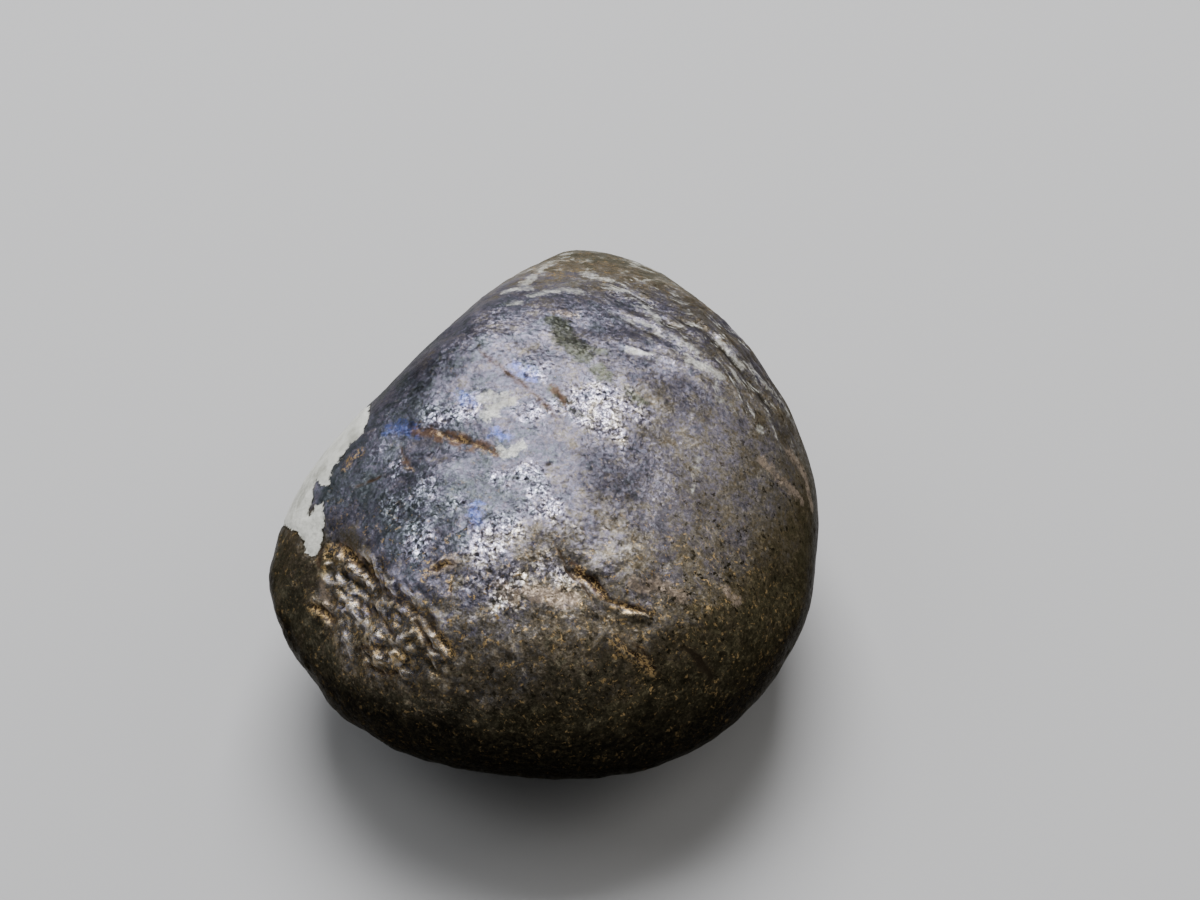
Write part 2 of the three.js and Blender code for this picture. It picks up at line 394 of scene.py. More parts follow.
PALE_AND_HIGHLIGHT_PATCHES = (
    Patch("grey grain by the hairline", ((484, 396), (508, 396), (486, 414)), 0.3),
    Patch("grey grain by the crevice", ((502, 452), (520, 446)), 0.24),
    Patch("right scratch", ((698, 457), (696, 474), (693, 492)), 0.07),
    Patch("ledge light", ((632, 349), (656, 358)), 0.16),
    Patch("ledge light right", ((690, 362), (706, 369), (722, 376)), 0.2),
    Patch("ledge light above", ((662, 332), (680, 342), (696, 352)), 0.16),
    Patch("inner arc light", ((636, 300), (650, 312), (662, 330)), 0.14),
    Patch("upper ledge light", ((720, 342), (732, 354), (743, 366)), 0.16),
    Patch("outer ledge light", ((754, 368), (766, 384), (779, 400)), 0.18),
    Patch("outer ledge light below", ((782, 402), (794, 418)), 0.16),
    Patch("apex left", ((506, 292), (527, 288)), 0.3),
    Patch("apex streak", ((532, 296), (556, 291), (582, 293)), 0.24),
    Patch("apex under streak", ((508, 304), (520, 303)), 0.16),
    Patch("apex middle", ((588, 274), (608, 280)), 0.3),
    Patch("apex left rim", ((518, 270), (552, 262)), 0.26),
    Patch("apex right", ((636, 263), (654, 270)), 0.26),
    Patch("bright bit", ((719, 401), (729, 404)), 0.1),
    Patch("bright bit below", ((757, 425), (762, 429)), 0.14),
)

BLUE_GLINTS = (
    Patch("crevice blue", ((390, 428), (404, 428), (416, 430)), 0.26),
    Patch("crown cyan", ((476, 506), (477, 524)), 0.15),
    Patch("hairline blue", ((518, 366), (533, 374)), 0.26),
    Patch("crown blue", ((462, 396), (474, 402)), 0.22),
    Patch("small crown blue", ((496, 432), (506, 436)), 0.2),
)

GOLD_SPOTS = (
    Patch("gold under the quartz", ((328, 552), (340, 552), (356, 558)), 0.28),
    Patch("gold in the crevice", ((420, 427), (440, 437), (470, 442)), 0.05),
    Patch("gold crevice end", ((476, 445), (494, 453)), 0.06),
    Patch("gold branch", ((402, 458), (411, 471)), 0.05),
    Patch("gold in the gash", ((580, 572), (592, 582), (602, 592)), 0.26),
    Patch("gold gash arm", ((612, 603), (632, 610), (650, 614)), 0.18),
    Patch("gold low gash", ((612, 640), (634, 656), (650, 670)), 0.24),
    Patch("gold ribbon", ((438, 634), (452, 655)), 0.24),
    Patch("gold bead tear", ((372, 648), (390, 655), (408, 660)), 0.26),
    Patch("gold chip", ((312, 606), (330, 622)), 0.2),
    Patch("gold brow nick", ((424, 575), (446, 563)), 0.14),
    Patch("gold brow nick below", ((448, 585), (448, 603)), 0.1),
    Patch("gold rim", ((346, 466), (360, 452)), 0.26),
    Patch("gold apex", ((551, 274), (571, 276)), 0.26),
)

# Painted highlights: patches on the crown where the ore is made brighter and its grain livelier.
FROST_AND_PAINTED_HIGHLIGHT_PATCHES = (
    Patch("crown top", ((564, 402), (590, 397), (634, 410)), 0.85),
    Patch("crown top left", ((520, 412), (548, 428)), 0.5),
    Patch("under the crown top", ((584, 424), (612, 430)), 0.6),
    Patch("crown middle", ((530, 470), (504, 480)), 0.4),
    Patch("white blotch", ((534, 506), (552, 514)), 0.6),
    Patch("low crown", ((506, 528), (486, 556)), 0.6),
    Patch("left shoulder", ((412, 530), (444, 540), (468, 562)), 0.6),
    Patch("left crown", ((404, 498), (440, 502)), 0.5),
    Patch("left slope", ((388, 452), (398, 474), (390, 510)), 0.3),
    Patch("brow left", ((494, 584), (518, 598)), 0.5),
    Patch("brow middle", ((546, 566), (560, 580)), 0.4),
    Patch("above the crevice", ((430, 411), (456, 412), (474, 401)), 0.4),
    Patch("hairline right", ((524, 356), (544, 372), (566, 378)), 0.35),
)

RUST_BANDS = (
    Patch("crevice rust", ((420, 428), (436, 434), (458, 440), (494, 450)), 0.34),
    Patch("gash rust", ((574, 568), (592, 582), (604, 596)), 0.2),
    Patch("furrow rust", ((342, 545), (360, 562), (372, 574)), 0.26),
    Patch("branch rust", ((402, 458), (410, 470)), 0.16),
    Patch("hairline rust", ((488, 356), (507, 370), (526, 386), (547, 405)), 0.07),
    Patch("hole rust", ((555, 387), (562, 396), (568, 403)), 0.22),
)

SHADE_PATCHES = (
    Patch("under the ledges", ((622, 370), (656, 386), (690, 400)), 0.8),
    Patch("over the crown light", ((596, 350), (618, 364)), 0.4),
    Patch("right of the crown light", ((648, 420), (640, 450)), 0.5),
    Patch("middle of the crown", ((588, 462), (612, 492)), 0.7),
    Patch("left of the gash", ((520, 548), (540, 560)), 0.3),
    Patch("upper left slope", ((424, 372), (452, 360), (472, 340)), 0.7),
)

OLIVE_PATCHES = (
    Patch("back hollow", ((555, 320), (566, 338), (584, 354)), 0.5),
    Patch("back hollow fringe", ((590, 352), (612, 350)), 0.16),
    Patch("second hollow", ((597, 368), (606, 378)), 0.3),
    Patch("dark spot in the crown light", ((629, 391), (640, 400)), 0.26),
    Patch("dark spot by the hairline", ((554, 391), (566, 403)), 0.3),
    Patch("dark fleck under the hairline", ((574, 410), (580, 414)), 0.16),
)


@dataclass(frozen=True)
class QuartzFace:
    """The white quartz on the left flank: an outline on the photo, and a guess round the side."""

    along_deg: float = 235.0
    facing_deg: float = 145.0
    seen: Line = (
        (368, 404), (367, 416), (362, 432), (351, 444), (340, 457), (332, 468), (328, 486),
        (321, 484), (317, 480), (311, 490), (312, 497), (309, 505), (307, 516), (311, 513),
        (315, 507), (323, 503), (323, 523), (322, 536), (320, 547), (315, 557), (306, 551),
        (302, 539), (298, 533), (285, 525), (240, 520), (240, 404),
    )
    hidden: Line = (
        (2.9, 14.0), (3.3, 11.6), (3.9, 9.4), (4.6, 7.6), (5.6, 8.2), (6.4, 6.2), (7.2, 5.6),
        (8.0, 7.2), (8.6, 8.6), (9.0, 9.3), (9.5, 10.4), (10.0, 14.0),
    )

    def depth_inside(
        self, points: np.ndarray, normals: np.ndarray, viewpoint: Viewpoint
    ) -> np.ndarray:
        """How far each point lies inside the quartz, in millimetres, below 0 outside it.

        Args:
            points: rows of x, y, z.
            normals: the surface's directions there.
            viewpoint: the camera through which the outline was drawn.

        Returns:
            One value for each point.
        """
        pixels = polygon_depth(viewpoint.on_frame(points), self.seen)
        seen = pixels * viewpoint.distance / viewpoint.focal
        chart = np.stack([points @ direction(self.along_deg, 0.0), points[:, 2]], 1)
        hidden = polygon_depth(chart, self.hidden)
        facing = smoothstep(-0.08, 0.08, normals @ viewpoint.back)
        inside = hidden + facing * (seen - hidden)
        faces_left = normals @ direction(self.facing_deg, 0.0)
        return np.where(faces_left > -0.05, inside, -1.0)


def direction(azimuth_deg: float, elevation_deg: float) -> np.ndarray:
    """The direction at an azimuth and elevation.

    Args:
        azimuth_deg: 0 to the right, 90 to the back.
        elevation_deg: 90 straight up.

    Returns:
        A direction of length 1.
    """
    turn, rise = math.radians(azimuth_deg), math.radians(elevation_deg)
    return np.array([
        math.cos(rise) * math.cos(turn),
        math.cos(rise) * math.sin(turn),
        math.sin(rise),
    ])


def polygon_depth(chart: np.ndarray, corners: Line) -> np.ndarray:
    """How far flat points lie inside a polygon, below 0 outside it.

    Args:
        chart: rows of two coordinates.
        corners: the polygon's corners in order.

    Returns:
        One distance for each point.
    """
    ring = np.array(corners)
    nearest = np.full(len(chart), np.inf)
    inside = np.zeros(len(chart), bool)
    for start, end in zip(ring, np.roll(ring, -1, axis=0)):
        edge = end - start
        share = np.clip((chart - start) @ edge / (edge @ edge), 0.0, 1.0)
        nearest = np.minimum(nearest, np.linalg.norm(chart - start - share[:, None] * edge, axis=1))
        spans = (start[1] > chart[:, 1]) != (end[1] > chart[:, 1])
        rise = np.where(abs(edge[1]) < 1e-9, 1e-9, edge[1])
        crossing = start[0] + (chart[:, 1] - start[1]) / rise * edge[0]
        inside ^= spans & (chart[:, 0] < crossing)
    return np.where(inside, nearest, -nearest)


def line_distance(points: np.ndarray, line: np.ndarray) -> tuple[np.ndarray, np.ndarray]:
    """Measures from points to a line of several segments.

    Args:
        points: rows of x, y, z.
        line: rows of x, y, z along the line.

    Returns:
        The distance to the line, and the share of the line before the nearest place.
    """
    nearest = np.full(len(points), np.inf)
    place = np.zeros(len(points))
    for k, (start, end) in enumerate(zip(line[:-1], line[1:])):
        edge = end - start
        share = np.clip((points - start) @ edge / max(edge @ edge, 1e-9), 0.0, 1.0)
        distance = np.linalg.norm(points - start - share[:, None] * edge, axis=1)
        closer = distance < nearest
        nearest = np.where(closer, distance, nearest)
        place = np.where(closer, (k + share) / (len(line) - 1), place)
    return nearest, place


# The skin of the stone.


class Lattice:
    """An even net of directions, made from the faces of a cube blown up to a ball."""

    def __init__(self, steps: int) -> None:
        """Builds the directions, the four-sided meshes between them and the edges.

        Args:
            steps: meshes along each edge of the cube.
        """
        side = steps + 1
        keys, quads = [], []
        for axis in range(3):
            for level in (0, steps):
                grid_a, grid_b = np.meshgrid(np.arange(side), np.arange(side), indexing="ij")
                spot = np.empty((side, side, 3), np.int64)
                spot[..., axis] = level
                spot[..., (axis + 1) % 3] = grid_a
                spot[..., (axis + 2) % 3] = grid_b
                key = spot @ np.array([1, side, side * side])
                ring = [key[:-1, :-1], key[1:, :-1], key[1:, 1:], key[:-1, 1:]]
                if level == 0:
                    ring.reverse()
                quads.append(np.stack([r.ravel() for r in ring], 1))
                keys.append(key.ravel())
        names = np.unique(np.concatenate(keys))
        order = np.full(side**3, -1, np.int64)
        order[names] = np.arange(len(names))
        self.quads = order[np.concatenate(quads)]
        spots = np.stack([names % side, names // side % side, names // (side * side)], 1)
        spread = np.tan((2.0 * spots / steps - 1.0) * math.pi / 4)
        self.directions = unit(spread)
        pairs = np.concatenate([self.quads[:, [k, (k + 1) % 4]] for k in range(4)])
        self.edges = np.unique(np.sort(pairs, axis=1), axis=0)
        self.degree = np.bincount(self.edges.ravel(), minlength=len(names)).astype(float)

    def around(self, values: np.ndarray) -> np.ndarray:
        """The mean of each point's neighbours.

        Args:
            values: one number, or one row, for each point.

        Returns:
            The means, in the same shape.
        """
        flat = values.reshape(len(values), -1)
        first, second = self.edges.T
        sums = [
            np.bincount(first, flat[second, k], len(flat))
            + np.bincount(second, flat[first, k], len(flat))
            for k in range(flat.shape[1])
        ]
        return (np.stack(sums, 1) / self.degree[:, None]).reshape(values.shape)

    def measure(self, points: np.ndarray) -> None:
        """Takes the mean distance from each point to its neighbours.

        Args:
            points: rows of x, y, z, one for each direction.
        """
        first, second = self.edges.T
        length = np.linalg.norm(points[first] - points[second], axis=1)
        total = sum(np.bincount(end, length, len(points)) for end in (first, second))
        self.spacing = total / self.degree

    def soften(self, values: np.ndarray, width: float) -> np.ndarray:
        """Evens out values over the net, as a soft brush would.

        Args:
            values: one number, or one row, for each point.
            width: half the brush's width in millimetres.

        Returns:
            The softened values.
        """
        finest = self.spacing.min()
        rounds = max(1, math.ceil(2.0 * (width / finest) ** 2))
        pace = 2.0 * (width / self.spacing) ** 2 / rounds
        pace = pace.reshape(-1, *[1] * (values.ndim - 1))
        for _ in range(rounds):
            values = values + np.minimum(pace, 1.0) * (self.around(values) - values)
        return values

    def normals(self, points: np.ndarray) -> np.ndarray:
        """The outward direction of the surface at each point.

        Args:
            points: rows of x, y, z, one for each direction of the net.

        Returns:
            Rows of x, y, z of length 1.
        """
        corner = points[self.quads]
        face = np.cross(corner[:, 2] - corner[:, 0], corner[:, 3] - corner[:, 1])
        total = np.zeros_like(points)
        for k in range(4):
            for axis in range(3):
                total[:, axis] += np.bincount(self.quads[:, k], face[:, axis], len(points))
        return unit(total)


class SolidForm:
    """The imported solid, as something to take the broad form from."""

    def __init__(self, node: bpy.types.Object) -> None:
        """Prepares the solid for casting lines at it.

        Args:
            node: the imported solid's object.
        """
        corners = [v.co / MM for v in node.data.vertices]
        faces = [tuple(p.vertices) for p in node.data.polygons]
        self.tree = BVHTree.FromPolygons(corners, faces)
        low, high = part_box(node.name)
        self.low = np.array(low) / MM
        self.high = np.array(high) / MM
        self.middle = (self.low + self.high) / 2

    def wrap(self, directions: np.ndarray, source: Triple) -> np.ndarray:
        """Where lines from a point inside the solid leave its surface.

        Args:
            directions: the lines' directions.
            source: the point inside.

        Returns:
            Rows of x, y, z in millimetres.
        """
        start = Vector(source)
        return np.array([self.tree.ray_cast(start, Vector(d))[0] for d in directions])

    def seen_at(self, viewpoint: Viewpoint, pixel: Pixel) -> np.ndarray:
        """The point of the surface that a pixel of the photo's frame looks at.

        Args:
            viewpoint: the camera's place.
            pixel: x and y on the frame.

        Returns:
            x, y, z in millimetres. A pixel just off the stone gives the nearest point to it.
        """
        start, toward = Vector(viewpoint.place), Vector(viewpoint.sightline(pixel))
        hit = self.tree.ray_cast(start, toward)[0]
        if hit is None:
            beside = start + toward * (Vector(self.middle) - start).dot(toward)
            hit = self.tree.find_nearest(beside)[0]
        return np.array(hit)


@dataclass
class Pebble:
    """The whole stone: its fine skin, its small relief and where each finish lies."""

    viewpoint: Viewpoint
    steps: int = 128
    source: Triple = (-2.2, -2.6, 9.2)
    facet_width: float = 0.34
    torn_ridges: float = 0.11
    torn_fines: float = 0.1
    torn_beads: float = 0.7
    torn_sink: float = 0.14
    swell: float = 0.085
    ripple: float = 0.055
    quartz_rise: float = 0.03
    groove_depth: float = 0.05
    box_ease: float = 0.09
    box_room: float = 0.7
    hue_middle: float = 0.44
    torn_hue: float = 0.68
    quartz: QuartzFace = field(default_factory=QuartzFace)
    ledge_middle: Triple = (7.4, 4.4, 12.6)
    ledge_along: Triple = (0.69, -0.69, -0.2)
    ledge_across: Triple = (0.59, 0.7, -0.37)
    torn_middle: Pixel = (378, 618)

    def __post_init__(self) -> None:
        """Takes the broad form from the solid."""
        self.form = SolidForm(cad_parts["stone"])
        self.net = Lattice(self.steps)
        wrapped = self.form.wrap(self.net.directions, self.source)
        self.net.measure(wrapped)
        self.points = self.net.soften(wrapped, self.facet_width)
        self.points[:, 2] = np.maximum(self.points[:, 2], 0.0)
        self.normals = self.net.normals(self.points)
        self.marks: dict[str, np.ndarray] = {}

    def spot(self, pixel: Pixel) -> np.ndarray:
        """The place on the stone that a pixel looks at."""
        return self.form.seen_at(self.viewpoint, pixel)

    def trace(self, line: Line) -> np.ndarray:
        """The places on the stone along a line of pixels."""
        return np.array([self.spot(pixel) for pixel in line])

    def patch_depth(self, patches: tuple[Patch, ...], seed: int, ragged: float) -> np.ndarray:
        """How far each point lies inside any of some patches, in millimetres.

        Args:
            patches: the patches.
            seed: sets how the edges wander.
            ragged: how far the edges wander, in millimetres.

        Returns:
            One value for each point, below 0 outside.
        """
        place = Noise(seed).drift(self.points, 0.8, reach=ragged)
        place = Noise(seed + 1).drift(place, 0.3, reach=ragged / 2)
        depths = [p.radius - line_distance(place, self.trace(p.line))[0] for p in patches]
        return np.maximum.reduce(depths)

    # Relief, each part in millimetres above the broad form.

    def crack_height(self) -> np.ndarray:
        """Cracks and crevices, and the lips beside them. Marks the dirt and painted shade that they
        hold.

        Returns:
            One height for each point.
        """
        wander = Noise(3).drift(self.points, 0.9, reach=0.14)
        wander = Noise(4).drift(wander, 0.32, reach=0.06)
        cut = np.zeros(len(self.points))
        lip = np.zeros(len(self.points))
        dirt_and_shade = np.zeros(len(self.points))
        breaks = np.clip(0.85 + 0.6 * Noise(5).smooth(self.points, 0.6), 0.25, 1.15)
        for crack in CRACKS:
            distance, place = line_distance(wander, self.trace(crack.line))
            fullness = np.sin(np.pi * np.clip(place, 0.03, 0.97)) ** 0.4
            width = crack.half_width * (0.5 + 0.5 * fullness)
            cut = np.maximum(cut, crack.depth * fullness * breaks * fade(distance / width))
            lip = np.maximum(lip, crack.lip * fullness * fade((distance / width - 1.5) / 0.8))
            dirt_and_shade = np.maximum(dirt_and_shade, crack.dirt_and_shade * fullness * fade(distance / (1.5 * width)))
        self.marks["dirt_and_shade"] = dirt_and_shade
        return np.where(cut > 0.01, -cut, lip)

    def ridge_height(self) -> np.ndarray:
        """Raised ribbons and rounded lumps of torn metal.

        Returns:
            One height for each point.
        """
        place = Noise(6).drift(self.points, 0.8, reach=0.2)
        place = Noise(7).drift(place, 0.3, reach=0.08)
        height = np.zeros(len(self.points))
        breaks = np.clip(0.7 + 0.9 * Noise(57).smooth(self.points, 0.5), 0.1, 1.2)
        for ridge in RIDGES:
            distance, along = line_distance(place, self.trace(ridge.line))
            fullness = np.sin(np.pi * np.clip(along, 0.05, 0.95)) ** 0.5 * breaks
            height = np.maximum(height, ridge.rise * fullness * fade(distance / ridge.half_width))
        for knob in KNOBS:
            distance = np.linalg.norm(place - self.spot(knob.spot), axis=1)
            height = np.maximum(height, knob.rise * fade(distance / knob.radius))
        self.marks["crest"] = smoothstep(0.03, 0.09, height)
        return height

    def torn_height(self) -> np.ndarray:
        """The broken, melted-looking ground inside the left corner.

        Returns:
            One height for each point.
        """
        along = unit(self.spot((440, 660)) - self.spot((330, 560)))
        offset = self.points - self.spot(self.torn_middle)
        run = offset @ along
        aside = np.linalg.norm(offset - run[:, None] * along, axis=1)
        reach = np.hypot(run / 4.4, aside / 2.5) + 0.16 * Noise(8).smooth(self.points, 1.1)
        mask = 1.0 - smoothstep(0.6, 1.05, reach)
        self.marks["torn"] = mask
        stretched = self.points - 0.4 * (self.points @ along)[:, None] * along
        place = Noise(9).drift(stretched, 0.7, reach=0.2)
        ridges = 1.0 - 2.4 * np.abs(Noise(10).smooth(place, 0.85))
        fine = 1.0 - 2.2 * np.abs(Noise(11).smooth(place, 0.42))
        beads = np.zeros(len(self.points))
        place = Noise(54).drift(self.points, 0.4, reach=0.12)
        for seed, spacing, rise in ((55, 0.8, 0.18), (56, 0.45, 0.14)):
            distance, label = Noise(seed).cells(place - 0.45 * (place @ along)[:, None] * along,
                                                spacing)
            size = spacing * (0.35 + 0.25 * (label * 5.0 % 1.0))
            bead = np.where(label < 0.45, rise * fade(distance / size), 0.0)
            beads = np.maximum(beads, bead)
        rise = self.torn_ridges * ridges + self.torn_fines * fine + self.torn_beads * beads
        return mask * (rise - self.torn_sink)

    def ledge_height(self) -> np.ndarray:
        """Thin ledges along the right back flank and the back end.

        Returns:
            One height for each point.
        """
        along = unit(np.array(self.ledge_along))
        across_way = unit(np.array(self.ledge_across))
        place = Noise(12).drift(self.points, 2.2, reach=0.45)
        place = Noise(58).drift(place, 0.8, reach=0.2)
        offset = self.points - np.array(self.ledge_middle)
        run = offset @ along
        aside = np.linalg.norm(offset - run[:, None] * along, axis=1)
        mask = fade(np.hypot(run / 8.8, aside / 4.8))
        across = (place - np.array(self.ledge_middle)) @ across_way
        height = np.zeros(len(self.points))
        for spacing, step in ((1.05, 0.17), (0.47, 0.07)):
            phase = across / spacing - np.floor(across / spacing)
            rounded = np.where(phase < 0.78, phase / 0.78, (1.0 - phase) / 0.22)
            height += step * (rounded - 0.5)
        self.marks["ledge"] = mask
        self.marks["run"] = run
        self.marks["across"] = across
        broken = smoothstep(-0.4, 0.25, Noise(13).smooth(self.points, 1.5))
        return mask * height * (0.3 + 0.7 * broken)

    def pit_height(self) -> np.ndarray:
        """Scattered pits, thick on the brow and corner and thin on the crown's right.

        Returns:
            One height for each point.
        """
        wear = 0.5 + 0.5 * Noise(14).layered(self.points, 4.0)
        low = smoothstep(-4.0, -10.0, self.points[:, 1]) * smoothstep(15.0, 11.0, self.points[:, 2])
        share = 0.08 + 0.22 * low + 0.2 * (wear - 0.5) + 0.2 * self.marks["torn"]
        share = np.clip(share, 0.02, 0.5)
        height = np.zeros(len(self.points))
        place = Noise(15).drift(self.points, 0.4, reach=0.12)
        for seed, spacing, depth in ((16, 0.9, 0.07), (17, 0.5, 0.04)):
            distance, label = Noise(seed).cells(place, spacing)
            size = spacing * (0.2 + 0.25 * (label * 7.0 % 1.0))
            height -= np.where(label < share, depth * fade(distance / size), 0.0)
        return height

    def uneven_height(self) -> np.ndarray:
        """Low unevenness left by tumbling.

        Returns:
            One height for each point.
        """
        calm = 1.0 - 0.5 * smoothstep(3.0, 9.0, self.points[:, 0])
        calm += 0.5 * smoothstep(-5.0, -9.0, self.points[:, 1])
        calm += 0.6 * smoothstep(-7.0, -10.0, self.points[:, 0])
        return calm * (
            self.swell * Noise(18).layered(self.points, 2.6, 2)
            + self.ripple * Noise(19).layered(self.points, 1.0, 2)
        )

    def quartz_height(self) -> np.ndarray:
        """The quartz face: flatter, a little proud, with a fine groove along its border.

        Returns:
            One height for each point.
        """
        hidden = smoothstep(0.1, -0.15, self.normals @ self.viewpoint.back)[:, None]
        place = Noise(20).drift(self.points, 1.1, reach=0.06 + 0.5 * hidden)
        place = Noise(21).drift(place, 0.35, reach=0.05 + 0.12 * hidden)
        inside = self.quartz.depth_inside(place, self.normals, self.viewpoint)
        self.marks["quartz"] = inside
        groove = -self.groove_depth * fade(inside / 0.15)
        steps = self.quartz_rise * Noise(22).layered(self.points, 1.4)
        return groove + smoothstep(0.0, 0.3, inside) * (self.quartz_rise + steps)

    def shape(self) -> None:
        """Adds the relief to the skin and keeps it inside the solid's box."""
        quartz = self.quartz_height()
        ore = 1.0 - smoothstep(-0.1, 0.15, self.marks["quartz"])
        relief = self.torn_height() + self.crack_height() + self.ridge_height()
        relief += self.ledge_height() + self.uneven_height() + self.pit_height()
        relief = relief * (0.2 + 0.8 * ore) + quartz
        room = np.minimum(self.form.high - self.points, (self.points - self.form.low) + [0, 0, 9])
        relief -= self.box_ease * fade(room.min(1) / self.box_room)
        relief *= smoothstep(0.02, 0.9, self.points[:, 2])
        rough = self.points + relief[:, None] * self.normals
        self.points = np.clip(rough, self.form.low, self.form.high)
        self.normals = self.net.normals(self.points)
        self.mark_finishes()

    # Where each finish lies.

    def mark_finishes(self) -> None:
        """Fills in the marks that the finishes read."""
        near = self.net.soften(self.points, 0.25)
        self.marks["recess"] = ((near - self.points) * self.normals).sum(1)
        self.mark_patches()
        self.mark_tarnish_and_painted_shade()
        # The crown, where painted shade darkens the ground between the painted highlights.
        crown = np.linalg.norm((self.points - self.spot((515, 460))) / [7.6, 7.6, 5.0], axis=1)
        edge = 0.3 * Noise(50).layered(self.points, 2.6)
        self.marks["crown_painted_shade"] = smoothstep(1.15, 0.5, crown + edge)

    def mark_patches(self) -> None:
        """Marks the patches whose places the photo shows."""
        marks = self.marks
        for name, patches, seed, ragged in (
            ("tan", TAN_PATCHES, 30, 0.2), ("pale", PALE_AND_HIGHLIGHT_PATCHES, 33, 0.16),
            ("blue", BLUE_GLINTS, 36, 0.12), ("gold", GOLD_SPOTS, 39, 0.2),
            ("rust", RUST_BANDS, 42, 0.2), ("olive", OLIVE_PATCHES, 44, 0.2),
        ):
            marks[name] = self.patch_depth(patches, seed, ragged)
        # frost: painted highlight, brighter crystals with livelier grain and more tilted facets.
        frost_and_painted_highlight = self.patch_depth(FROST_AND_PAINTED_HIGHLIGHT_PATCHES, 51, 0.5)
        frost_and_painted_highlight += 1.3 * Noise(53).layered(self.points, 1.5, 4)
        marks["frost_and_painted_highlight"] = smoothstep(-0.4, 0.5, frost_and_painted_highlight)
        shade = self.patch_depth(SHADE_PATCHES, 61, 0.5) + 0.6 * Noise(63).layered(self.points, 1.2)
        marks["shade"] = smoothstep(-0.6, 0.4, shade)

    def mark_tarnish_and_painted_shade(self) -> None:
        """Marks how the tarnish and the brightness change from the crown down and to the back. The
        darkening low down, towards the front and on the left corner is painted shade.
        """
        x, y, z = self.points.T
        marks = self.marks
        height = z + 2.4 * Noise(60).layered(self.points, 5.5)
        facing = self.net.soften(self.normals, 0.8)
        marks["left_slope"] = smoothstep(0.35, 0.8, facing @ direction(150.0, 25.0))
        broad = facing[:, 2] + 0.05 * (height - z) + 0.045 * smoothstep(0.0, 6.0, x)
        # low: painted shade, strongest where the broad surface faces down and towards the front.
        marks["low"] = smoothstep(0.8, 0.15, broad + 0.14 * Noise(45).layered(self.points, 1.5))
        marks["low"] *= 1.0 - 0.7 * marks["torn"]
        marks["low"] *= 0.6 + 0.4 * smoothstep(5.0, -3.0, y)
        drift = 0.22 * Noise(46).layered(self.points, 5.0)
        drift += 0.1 * Noise(47).smooth(self.points, 1.3)
        below = 0.16 * np.clip(11.0 - height, 0.0, None) + 0.06 * np.clip(-6.5 - y, 0.0, None)
        behind = 0.1 * np.clip(y - 6.0, 0.0, None)
        across = 0.028 * x - 0.01 * np.clip(x, 0.0, None)
        hue = self.hue_middle + across + drift + below + behind
        corner = np.linalg.norm(self.points - self.spot((290, 596)), axis=1)
        corner = smoothstep(6.0, 2.5, corner + 1.2 * Noise(59).smooth(self.points, 2.0))
        hue += 0.55 * corner
        # Painted shade on the left corner too, outside the torn ground.
        marks["low"] = np.maximum(marks["low"], 0.5 * corner * (1.0 - marks["torn"]))
        hue += 0.8 * marks["torn"] * (self.torn_hue - hue)
        marks["hue"] = np.clip(hue, 0.0, 1.0)
        brow = smoothstep(-4.0, -8.5, y) * smoothstep(14.5, 12.5, z)
        marks["brow"] = np.maximum(brow, corner)
        warm = 0.15 + 0.06 * x - 0.05 * y + 0.1 * (11.0 - height)
        marks["bronze"] = np.clip(warm + 0.3 * Noise(48).layered(self.points, 3.0), 0.0, 1.0)
        back = smoothstep(5.5, 9.5, y + 1.4 * Noise(49).layered(self.points, 2.5))
        marks["back_end"] = back

    def build(self, finish: "MohawkiteFinish") -> bpy.types.Object:
        """Makes the skin's object, dresses it and stands it in for the solid.

        Args:
            finish: the stone's material.

        Returns:
            The new object.
        """
        self.shape()
        mesh = bpy.data.meshes.new("mohawkite_pebble")
        quads = self.net.quads
        mesh.vertices.add(len(self.points))
        mesh.vertices.foreach_set("co", (self.points * MM).astype(np.float32).ravel())
        mesh.loops.add(quads.size)
        mesh.loops.foreach_set("vertex_index", quads.astype(np.int32).ravel())
        mesh.polygons.add(len(quads))
        mesh.polygons.foreach_set("loop_start", np.arange(0, quads.size, 4, dtype=np.int32))
        mesh.update(calc_edges=True)
        mesh.validate()
        mesh.shade_smooth()
        for name, values in self.marks.items():
            layer = mesh.attributes.new(name, "FLOAT", "POINT")
            layer.data.foreach_set("value", values.astype(np.float32))
        mesh.materials.append(finish.build())
        stone = bpy.data.objects.new("mohawkite_pebble", mesh)
        bpy.context.scene.collection.objects.link(stone)
        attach(stone, "root")
        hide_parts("stone")
        return stone


# Finishes.


class SocketKind(Enum):
    """What an input or output of a group carries."""

    NUMBER = "NodeSocketFloat"
    DIRECTION = "NodeSocketVector"
    COLOUR = "NodeSocketColor"


class Signal:
    """What a node gives out. It can be added, taken away and multiplied like a number."""

    def __init__(self, nodes: "Nodes", socket: bpy.types.NodeSocket) -> None:
        """Keeps the output and the nodes that it belongs to."""
        self.nodes = nodes
        self.socket = socket

    def __add__(self, other: object) -> "Signal":
        """The sum of both."""
        return self.nodes.math("ADD", self, other)

    def __sub__(self, other: object) -> "Signal":
        """This less the other."""
        return self.nodes.math("SUBTRACT", self, other)

    def __rsub__(self, other: float) -> "Signal":
        """The other less this."""
        return self.nodes.math("SUBTRACT", other, self)

    def __mul__(self, other: object) -> "Signal":
        """The product of both."""
        return self.nodes.math("MULTIPLY", self, other)

    def __rtruediv__(self, other: float) -> "Signal":
        """The other divided by this."""
        return self.nodes.math("DIVIDE", other, self)

    __radd__ = __add__
    __rmul__ = __mul__


